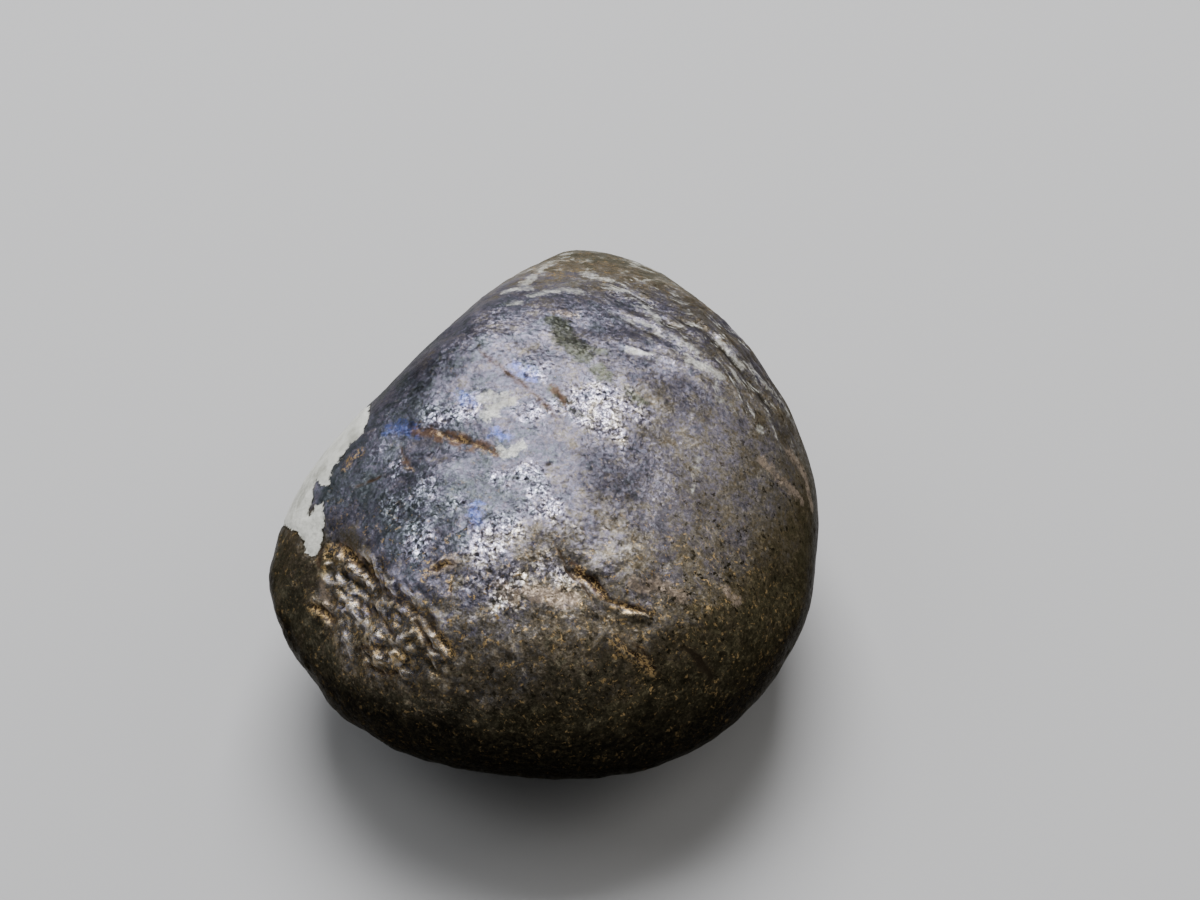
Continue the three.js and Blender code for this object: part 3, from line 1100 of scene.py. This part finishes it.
class Nodes:
    """Short ways to add nodes to one node tree."""

    def __init__(self, tree: bpy.types.NodeTree) -> None:
        """Keeps the tree that nodes are added to."""
        self.tree = tree

    def add(self, kind: str, **settings: object) -> bpy.types.Node:
        """Adds a node.

        Args:
            kind: Blender's name for the node.
            **settings: properties to set on it.

        Returns:
            The node.
        """
        node = self.tree.nodes.new(kind)
        for name, value in settings.items():
            setattr(node, name, value)
        return node

    def feed(self, socket: bpy.types.NodeSocket, value: object) -> None:
        """Links a socket to a signal, or sets its value.

        Args:
            socket: the input to feed.
            value: a signal, a number, or a row of numbers.
        """
        if isinstance(value, Signal):
            self.tree.links.new(value.socket, socket)
        else:
            socket.default_value = value

    def result(self, kind: str, inputs: dict[int | str, object], output: int | str = 0,
               **settings: object) -> Signal:
        """Adds a node, feeds its inputs and gives one of its outputs.

        Args:
            kind: Blender's name for the node.
            inputs: a value or signal for each input, by its name or number.
            output: the output's name or number.
            **settings: properties to set on the node.

        Returns:
            The output.
        """
        node = self.add(kind, **settings)
        for name, value in inputs.items():
            self.feed(node.inputs[name], value)
        return Signal(self, node.outputs[output])

    def math(self, operation: str, *values: object) -> Signal:
        """Adds a Math node."""
        return self.result("ShaderNodeMath", dict(enumerate(values)), operation=operation)

    def larger(self, first: Signal, second: Signal) -> Signal:
        """The larger of two signals."""
        return self.math("MAXIMUM", first, second)

    def vector(self, operation: str, *values: object, **named: object) -> Signal:
        """Adds a Vector Math node. Its Scale input is fed by name."""
        inputs = {**dict(enumerate(values)), **named}
        return self.result("ShaderNodeVectorMath", inputs, operation=operation)

    def ramp(self, value: Signal, low: float, high: float,
             to_low: float = 0.0, to_high: float = 1.0) -> Signal:
        """Maps a signal smoothly from one range to another, and no further.

        Args:
            value: the signal.
            low: where the first range starts.
            high: where it ends.
            to_low: what low becomes.
            to_high: what high becomes.

        Returns:
            The mapped signal.
        """
        inputs = {"Value": value, "From Min": low, "From Max": high,
                  "To Min": to_low, "To Max": to_high}
        return self.result("ShaderNodeMapRange", inputs, "Result",
                           interpolation_type="SMOOTHSTEP", clamp=True)

    def lay(self, share: object, under: object, over: object) -> Signal:
        """Lays one colour over another by a share."""
        return self.result("ShaderNodeMix", {0: share, 6: under, 7: over}, 2, data_type="RGBA")

    def mark(self, name: str) -> Signal:
        """Reads one of the stone's marks."""
        return self.result("ShaderNodeAttribute", {}, "Fac", attribute_name=name)

    def cut(self, value: object, shares: Shares) -> Signal:
        """Lowers a value where marks lie.

        Args:
            value: a number or signal.
            shares: each mark's name, and the share that a full mark takes away.

        Returns:
            What is left.
        """
        for name, share in shares:
            value = value * (1.0 - self.mark(name) * share)
        return value

    def edge(self, name: str, wobble: Signal, soft: float, ragged: float) -> Signal:
        """Turns a mark that holds a distance into a mask with a ragged edge.

        Args:
            name: the mark.
            wobble: a field about 0 that moves the edge.
            soft: half the edge's width in millimetres.
            ragged: how far the edge moves, in millimetres.

        Returns:
            The mask.
        """
        return self.ramp(self.mark(name) + wobble * ragged, -soft, soft)

    def noise(self, place: Signal, scale: object, detail: float = 2.0, roughness: float = 0.5,
              distortion: float = 0.0, output: str = "Fac") -> Signal:
        """Adds a Noise Texture."""
        inputs = {"Vector": place, "Scale": scale, "Detail": detail,
                  "Roughness": roughness, "Distortion": distortion}
        return self.result("ShaderNodeTexNoise", inputs, output)


def colour(red: float, green: float, blue: float) -> tuple[float, float, float, float]:
    """A colour as it looks on a screen, turned into the numbers that shaders take.

    Args:
        red: share of red, 0 to 255.
        green: share of green, 0 to 255.
        blue: share of blue, 0 to 255.

    Returns:
        Linear red, green and blue, and 1 for alpha.
    """
    shares = [c / 255 for c in (red, green, blue)]
    linear = [c / 12.92 if c <= 0.04045 else ((c + 0.055) / 1.055) ** 2.4 for c in shares]
    return (*linear, 1.0)


class EffectGroup:
    """A shader node group with named inputs and outputs."""

    def __init__(self, name: str) -> None:
        """Starts an empty group.

        Args:
            name: what the group is called.
        """
        self.tree = bpy.data.node_groups.new(name, "ShaderNodeTree")
        self.nodes = Nodes(self.tree)
        self.entry = self.nodes.add("NodeGroupInput")
        self.exit = self.nodes.add("NodeGroupOutput")

    def input(self, name: str, kind: SocketKind, value: object = None) -> Signal:
        """Adds an input.

        Args:
            name: what the input is called.
            kind: what it carries.
            value: what it holds when nothing feeds it.

        Returns:
            What comes in.
        """
        interface = self.tree.interface
        socket = interface.new_socket(name=name, in_out="INPUT", socket_type=kind.value)
        if value is not None:
            socket.default_value = value
        return Signal(self.nodes, self.entry.outputs[name])

    def output(self, name: str, kind: SocketKind, source: Signal) -> None:
        """Adds an output and feeds it."""
        self.tree.interface.new_socket(name=name, in_out="OUTPUT", socket_type=kind.value)
        self.nodes.feed(self.exit.inputs[name], source)

    def place(self, nodes: Nodes, **inputs: object) -> dict[str, Signal]:
        """Puts the group in a material.

        Args:
            nodes: the material's nodes.
            **inputs: a value or signal for each input.

        Returns:
            The outputs by name.
        """
        node = nodes.add("ShaderNodeGroup", node_tree=self.tree)
        for name, value in inputs.items():
            nodes.feed(node.inputs[name], value)
        return {socket.name: Signal(nodes, socket) for socket in node.outputs}


def crystal_grain() -> EffectGroup:
    """Builds the grain of the ore: fine worm-like crystals that each face their own way.

    Returns:
        The group.
    """
    group = EffectGroup("crystal grain")
    n = group.nodes
    place = group.input("Place", SocketKind.DIRECTION)
    size = group.input("Size", SocketKind.NUMBER, 0.16)
    tilt = group.input("Tilt", SocketKind.NUMBER, 0.3)
    crystals = n.noise(place, 1.0 / size, 3.0, 0.7, 0.7, "Color")
    facets = n.noise(place, 0.9 / size, 1.0, 0.5, 0.6, "Color")
    lean = n.vector("SUBTRACT", facets, (0.5, 0.5, 0.5))
    lean = n.vector("SCALE", lean, Scale=tilt * 5.0)
    facing = n.result("ShaderNodeNewGeometry", {}, "Normal")
    split = n.add("ShaderNodeSeparateColor")
    n.feed(split.inputs[0], crystals)
    red, green, blue = (Signal(n, socket) for socket in split.outputs)
    group.output("Fleck", SocketKind.NUMBER, n.ramp(red, 0.34, 0.66))
    group.output("Second Fleck", SocketKind.NUMBER, n.ramp(green, 0.34, 0.66))
    group.output("Spark", SocketKind.NUMBER, n.ramp(blue, 0.57, 0.68))
    turned = n.vector("NORMALIZE", n.vector("ADD", facing, lean))
    group.output("Normal", SocketKind.DIRECTION, turned)
    return group


def tarnish_film() -> EffectGroup:
    """Builds the film of tarnish: slate blue to violet to rose brown, mottled by the grain.

    Returns:
        The group.
    """
    group = EffectGroup("tarnish film")
    n = group.nodes
    place = group.input("Place", SocketKind.DIRECTION)
    hue = group.input("Hue", SocketKind.NUMBER, 0.5)
    fleck = group.input("Fleck", SocketKind.NUMBER, 0.5)
    amount = group.input("Amount", SocketKind.NUMBER, 0.5)
    metal = group.input("Metal", SocketKind.COLOUR, (0.3, 0.3, 0.3, 1.0))
    mottle = (fleck - 0.5) * 0.22
    cloud = (n.noise(place, 1.3, 4.0, 0.6, 0.5) - 0.5) * 0.9
    stops = (
        (0.0, colour(84, 98, 104)),
        (0.2, colour(108, 116, 124)),
        (0.34, colour(126, 130, 150)),
        (0.46, colour(150, 144, 168)),
        (0.56, colour(162, 156, 158)),
        (0.68, colour(158, 149, 134)),
        (0.8, colour(148, 130, 100)),
        (0.95, colour(106, 100, 70)),
    )
    hues = n.add("ShaderNodeValToRGB")
    ramp = hues.color_ramp
    while len(ramp.elements) < len(stops):
        ramp.elements.new(0.5)
    for element, (position, tint) in zip(ramp.elements, stops):
        element.position = position
        element.color = tint
    n.feed(hues.inputs[0], hue + (mottle + cloud))
    film = n.lay(amount, metal, Signal(n, hues.outputs["Color"]))
    group.output("Color", SocketKind.COLOUR, film)
    return group


def clouded_quartz() -> EffectGroup:
    """Builds the quartz colour: dull white with grey clouds and hair-thin stains.

    Returns:
        The group.
    """
    group = EffectGroup("clouded quartz")
    n = group.nodes
    place = group.input("Place", SocketKind.DIRECTION)
    white = group.input("White", SocketKind.COLOUR, colour(184, 184, 176))
    shade = group.input("Shade", SocketKind.COLOUR, colour(148, 148, 138))
    cloud = n.noise(place, 0.9, 4.0, 0.6, 0.4)
    speck = n.noise(place, 7.0, 2.0, 0.6)
    mixed = n.lay(n.ramp(cloud, 0.42, 0.68), white, shade)
    stained = n.lay(n.ramp(speck, 0.62, 0.78, 0.0, 0.4), mixed, colour(120, 112, 92))
    group.output("Color", SocketKind.COLOUR, stained)
    group.output("Roughness", SocketKind.NUMBER, n.ramp(speck, 0.3, 0.7, 0.34, 0.52))
    return group


@dataclass(frozen=True)
class Fields:
    """What every part of the stone's finish reads."""

    nodes: Nodes
    place: Signal  # position in millimetres
    fleck: Signal  # 0 to 1, one crystal at a time
    second_fleck: Signal
    spark: Signal  # 1 on the few brightest crystals
    leaning: Signal  # each crystal's own direction
    wobble: Signal  # about 0, for ragged edges


@dataclass(frozen=True)
class MohawkiteFinish:
    """The stone's one material: ore, tarnish, quartz, dirt and worn metal, with painted shade and
    painted highlights, placed by marks.
    """

    steel: Triple = (140, 137, 138)
    bronze: Triple = (104, 96, 76)
    dark: Triple = (36, 33, 24)
    gold: Triple = (184, 154, 104)
    rust: Triple = (72, 50, 33)
    tan: Triple = (154, 138, 122)
    blue: Triple = (72, 98, 190)
    olive: Triple = (62, 64, 54)
    brightest: Triple = (0.9, 0.9, 0.92)
    edge_tint: Triple = (0.45, 0.44, 0.42)
    grain_size: float = 0.16
    tilt: float = 0.12
    frost_tilt: float = 0.32
    contrast: float = 0.38
    contrast_gains: Shares = (("brow", 0.2), ("frost_and_painted_highlight", 0.44), ("low", 0.5))
    contrast_cuts: Shares = (("torn", 0.5), ("left_slope", 0.45))
    # Painted shade: the share of brightness taken away where the low mark lies.
    low_painted_shade: float = 0.93
    level_cuts: Shares = (("shade", 0.42), ("back_end", -0.5), ("low", low_painted_shade), ("ledge", 0.3))
    metallic: float = 0.94
    roughness: float = 0.24
    bump_strength: float = 0.6
    bump_height_mm: float = 0.06

    def build(self) -> bpy.types.Material:
        """Builds the material.

        Returns:
            The material.
        """
        material = bpy.data.materials.new("mohawkite")
        material.use_nodes = True
        tree = material.node_tree
        tree.nodes.clear()
        n = Nodes(tree)
        out = n.add("ShaderNodeOutputMaterial")
        shader = n.add("ShaderNodeBsdfPrincipled")
        tree.links.new(shader.outputs[0], out.inputs["Surface"])
        fields = self.fields(n)
        dirtied_and_shaded, recess, rusty = self.dirt_and_shade(fields, self.patches(fields, self.ore(fields)))
        quartz = clouded_quartz().place(n, Place=fields.place)
        streak = self.streaks(fields) * n.ramp(fields.fleck, 0.0, 1.0, 0.45, 0.85)
        stony = n.larger(n.edge("quartz", fields.wobble, 0.04, 0.45), streak)
        n.feed(shader.inputs["Base Color"], n.lay(stony, dirtied_and_shaded, quartz["Color"]))
        n.feed(shader.inputs["Metallic"], (self.metallic - rusty * 0.7) * (1.0 - stony))
        shader.inputs["Specular Tint"].default_value = (*self.edge_tint, 1.0)
        rough = self.roughness + n.noise(fields.place, 1.2, 4.0, 0.6) * 0.16
        rough = rough + recess * 0.25 + fields.second_fleck * 0.12
        rough = rough - n.larger(n.mark("crest"), n.mark("torn")) * 0.12
        mixed = n.result("ShaderNodeMix", {0: stony, 2: rough, 3: quartz["Roughness"]})
        n.feed(shader.inputs["Roughness"], mixed)
        n.feed(shader.inputs["Normal"], self.fine_relief(fields))
        return material

    def fields(self, n: Nodes) -> Fields:
        """Makes what every part of the finish reads.

        Args:
            n: the material's nodes.

        Returns:
            Place, grain and wobble.
        """
        place = n.result("ShaderNodeTexCoord", {}, "Object")
        place = n.vector("SCALE", place, Scale=1.0 / MM)
        tilt = n.cut(self.tilt + n.mark("frost_and_painted_highlight") * self.frost_tilt, (("torn", 0.6),))
        grain = crystal_grain().place(n, Place=place, Size=self.grain_size, Tilt=tilt)
        wobble = n.noise(place, 4.0, 3.0, 0.65) - 0.5
        return Fields(n, place, grain["Fleck"], grain["Second Fleck"], grain["Spark"],
                      grain["Normal"], wobble)

    def metal(self, fields: Fields) -> Signal:
        """The colour of the metal: steel to bronze, under a tarnish film.

        Args:
            fields: place and grain.

        Returns:
            The colour.
        """
        n = fields.nodes
        bronze = n.mark("bronze")
        bare = n.lay(bronze, colour(*self.steel), colour(*self.bronze))
        film = tarnish_film().place(
            n, Place=fields.place, Hue=n.mark("hue"), Fleck=fields.second_fleck,
            Amount=0.8 - bronze * 0.45, Metal=bare,
        )
        return film["Color"]

    def level(self, fields: Fields) -> Signal:
        """How bright each crystal is: lively and brighter in the frost patches (painted highlight),
        dull elsewhere, dark low down and on the crown between the patches (painted shade).

        Args:
            fields: place and grain.

        Returns:
            What the metal's colour is multiplied by.
        """
        n, place, frost_and_painted_highlight = fields.nodes, fields.place, fields.nodes.mark("frost_and_painted_highlight")
        contrast = self.contrast
        for name, gain in self.contrast_gains:
            contrast = contrast + n.mark(name) * gain
        contrast = n.cut(contrast, self.contrast_cuts)
        clump = n.noise(place, 2.4, 4.0, 0.7, 0.4) - 0.5
        swing = (fields.fleck - 0.5) * 1.7 + clump * 5.0 + fields.spark * 1.1
        lace = n.math("ABSOLUTE", n.noise(place, 1.5, 6.0, 0.7, 0.5) - 0.5)
        lace = n.ramp(lace, 0.06, 0.0) * (0.4 + fields.second_fleck)
        # Bright lace in the frost patches: painted highlight.
        swing = swing + lace * frost_and_painted_highlight * 2.2
        level = 0.3 + n.math("EXPONENT", contrast * swing) * 0.7
        # Painted shade on the crown: the ground there is darkened, a little less in the frost
        # patches.
        shade = 0.25 + frost_and_painted_highlight * 0.2
        level = level * (n.mark("crown_painted_shade") * (shade - 0.5) + 0.5)
        # Painted shade from the shade patches and the low mark; the back end is made brighter and
        # the ledges darker.
        level = n.cut(level, self.level_cuts)
        # Crests brighten, most in the torn corner: rubbed metal, partly painted highlight.
        worn_and_painted_highlight = n.ramp(n.mark("recess"), -0.006, -0.05) * (1.2 + n.mark("torn") * 2.8)
        worn_and_painted_highlight = worn_and_painted_highlight * n.ramp(n.noise(place, 0.8, 3.0, 0.6), 0.42, 0.6, 0.15, 1.1)
        return n.cut(level, (("torn", 0.3),)) * (1.0 + worn_and_painted_highlight)

    def ore(self, fields: Fields) -> Signal:
        """The ore: metal with brighter and darker crystals, and flecks of gold. Its brightness
        carries the painted shade and painted highlights.

        Args:
            fields: place and grain.

        Returns:
            The colour.
        """
        n = fields.nodes
        lit = n.vector("SCALE", self.metal(fields), Scale=self.level(fields))
        lit = n.vector("MINIMUM", lit, self.brightest)
        glints = n.noise(fields.place, 4.2, 4.0, 0.75, 0.5)
        gold = n.ramp(glints, 0.58, 0.66, 0.0, 0.7)
        gold = gold * (0.08 + n.mark("brow") + n.mark("back_end"))
        gold = gold * (1.5 - n.mark("low") * self.low_painted_shade * 1.4)
        return n.lay(gold, lit, colour(*self.gold))

    def patches(self, fields: Fields, base: Signal) -> Signal:
        """Lays the olive hollows, the tan blots and the blue glints on the ore.

        Args:
            fields: place and grain.
            base: the colour beneath.

        Returns:
            The colour.
        """
        n, wobble = fields.nodes, fields.wobble
        even = n.ramp(fields.fleck, 0.0, 1.0, 0.96, 0.75)
        broken = n.ramp(fields.fleck, 0.15, 0.6, 0.35, 0.85)
        olive = n.edge("olive", wobble, 0.16, 1.0) * even
        tan = n.edge("tan", wobble, 0.12, 0.9) * broken
        glint = n.edge("blue", wobble, 0.2, 1.3) * (broken * 0.36)
        for share, tint in ((olive, self.olive), (tan, self.tan), (glint, self.blue)):
            base = n.lay(share, base, colour(*tint))
        return base

    def dirt_and_shade(self, fields: Fields, base: Signal) -> tuple[Signal, Signal, Signal]:
        """Darkens the recesses with painted shade and dirt, and lays rust and gold in the cracks.

        Args:
            fields: place and grain.
            base: the colour beneath.

        Returns:
            The colour, the share of recess and the share of rust.
        """
        n, place, torn = fields.nodes, fields.place, fields.nodes.mark("torn")
        specks = n.ramp(n.noise(place, 3.4, 3.0, 0.7), 0.57, 0.66, 0.0, 0.75)
        specks = specks * (0.4 + n.mark("bronze"))
        # Painted shade in the recesses, partly dirt.
        recess = n.ramp(n.cut(n.mark("recess"), (("torn", 0.6),)), 0.004, 0.035)
        cloudy = n.ramp(n.noise(place, 2.6, 3.0, 0.6), 0.4, 0.56)
        band = n.ramp(n.mark("rust"), -0.1, 0.1) * cloudy
        rusty = n.larger(n.mark("dirt_and_shade") * 0.8, band)
        # Darkest along the middle of the cracks: painted shade and dirt.
        deepest = n.ramp(n.mark("dirt_and_shade"), 0.5, 1.0, 0.0, 0.5)
        shine = n.ramp(n.mark("gold"), -0.12, 0.12) * n.ramp(fields.fleck, 0.55, 0.75, 0.0, 0.8)
        torn_shine = torn * n.ramp(fields.second_fleck, 0.8, 0.9, 0.0, 0.36)
        for share, tint in (
            (specks, self.dark), (recess * 0.8, self.dark), (rusty * 0.85, self.rust),
            (deepest, self.dark), (n.larger(shine, torn_shine), self.gold),
        ):
            base = n.lay(share, base, colour(*tint))
        return base, recess, rusty

    def streaks(self, fields: Fields) -> Signal:
        """Where pale quartz shows in the ore: threads along the ledges and blots at the back end.
        On the ledge ridges the pale threads and streaks are partly painted highlight.

        Args:
            fields: place and grain.

        Returns:
            The share of quartz.
        """
        n, place = fields.nodes, fields.place
        across, along = n.mark("across") * 3.0, n.mark("run") * 0.5
        chart = n.result("ShaderNodeCombineXYZ", {0: across, 1: along})
        threads = n.ramp(n.noise(chart, 1.0, 4.0, 0.7, 1.0), 0.53, 0.62)
        broken = n.ramp(n.noise(place, 1.5, 4.0, 0.65, 0.4), 0.44, 0.56)
        threads = threads * (broken * n.ramp(n.mark("ledge"), 0.05, 0.4))
        blots = n.ramp(n.noise(place, 1.1, 4.0, 0.7, 0.4), 0.52, 0.7)
        blots = blots * (n.mark("back_end") * (1.0 - n.mark("low")))
        named = n.edge("pale", fields.wobble, 0.12, 0.9)
        named = named * n.ramp(n.noise(place, 2.6, 4.0, 0.7), 0.4, 0.58, 0.45, 1.0)
        return n.larger(n.larger(threads, blots), named)

    def fine_relief(self, fields: Fields) -> Signal:
        """The relief too fine for the skin: pinholes and a matt grain.

        Args:
            fields: place and grain.

        Returns:
            The surface's direction.
        """
        n = fields.nodes
        pits = n.noise(fields.place, 5.5, 4.0, 0.7, 0.3)
        fine = n.noise(fields.place, 16.0, 3.0, 0.6)
        return n.result("ShaderNodeBump", {
            "Strength": self.bump_strength, "Distance": self.bump_height_mm * MM,
            "Height": pits * 0.8 + fine * 0.25, "Normal": fields.leaning,
        })


# The studio.


@dataclass(frozen=True)
class Lamp:
    """A soft square lamp that looks at the stone."""

    name: str
    azimuth_deg: float
    elevation_deg: float
    distance_m: float
    size_m: float
    watts: float
    tint: Triple = (1.0, 1.0, 1.0)

    def build(self) -> bpy.types.Object:
        """Makes the lamp.

        Returns:
            The lamp.
        """
        data = bpy.data.lights.new(self.name, "AREA")
        data.shape = "SQUARE"
        data.size = self.size_m
        data.energy = self.watts
        data.color = self.tint
        lamp = bpy.data.objects.new(self.name, data)
        toward = Vector(direction(self.azimuth_deg, self.elevation_deg))
        lamp.location = Vector((0.0, 0.0, 0.007)) + toward * self.distance_m
        lamp.rotation_mode = "QUATERNION"
        lamp.rotation_quaternion = toward.to_track_quat("Z", "Y")
        bpy.context.scene.collection.objects.link(lamp)
        return lamp


@dataclass(frozen=True)
class Studio:
    """A plain pale floor, soft lamps and an even background."""

    floor_size_m: float = 3.0
    floor_grey: float = 0.36
    sky: Triple = (0.8, 0.82, 0.85)
    sky_strength: float = 0.16
    lamps: tuple[Lamp, ...] = (
        Lamp("window", 94.0, 62.0, 0.32, 0.2, 2.3, (0.98, 0.98, 1.0)),
        Lamp("left fill", 165.0, 46.0, 0.42, 0.25, 0.5, (0.95, 0.97, 1.0)),
        Lamp("front fill", 290.0, 66.0, 0.45, 0.25, 0.26, (1.0, 0.97, 0.93)),
        Lamp("right fill", 18.0, 38.0, 0.45, 0.25, 0.46, (1.0, 0.97, 0.93)),
    )

    def build(self) -> bpy.types.Object:
        """Makes the floor, the lamps and the background.

        Returns:
            The floor.
        """
        for lamp in self.lamps:
            lamp.build()
        world = bpy.data.worlds.new("studio")
        world.use_nodes = True
        sky = world.node_tree.nodes["Background"]
        sky.inputs["Color"].default_value = (*self.sky, 1.0)
        sky.inputs["Strength"].default_value = self.sky_strength
        bpy.context.scene.world = world
        half = self.floor_size_m / 2
        mesh = bpy.data.meshes.new("floor")
        mesh.from_pydata(
            [(-half, -half, 0), (half, -half, 0), (half, half, 0), (-half, half, 0)],
            [], [(0, 1, 2, 3)],
        )
        material = bpy.data.materials.new("pale floor")
        material.use_nodes = True
        shader = material.node_tree.nodes["Principled BSDF"]
        shader.inputs["Base Color"].default_value = (*[self.floor_grey] * 3, 1.0)
        shader.inputs["Roughness"].default_value = 0.9
        mesh.materials.append(material)
        floor = bpy.data.objects.new("floor", mesh)
        bpy.context.scene.collection.objects.link(floor)
        return floor


def main() -> None:
    """Builds the scene in order."""
    logging.basicConfig(level=logging.INFO, format="%(name)s: %(message)s")
    viewpoint = Viewpoint()
    viewpoint.build()
    log.info("camera at %s mm", viewpoint.place.round(1))
    for kind, features in (("cracks", CRACKS), ("ridges", RIDGES), ("lumps", KNOBS)):
        log.info("%s: %s", kind, ", ".join(feature.name for feature in features))
    stone = Pebble(viewpoint).build(MohawkiteFinish())
    log.info("stone with %d faces", len(stone.data.polygons))
    Studio().build()
    log.info("studio built")


if __name__ == "__main__":
    main()
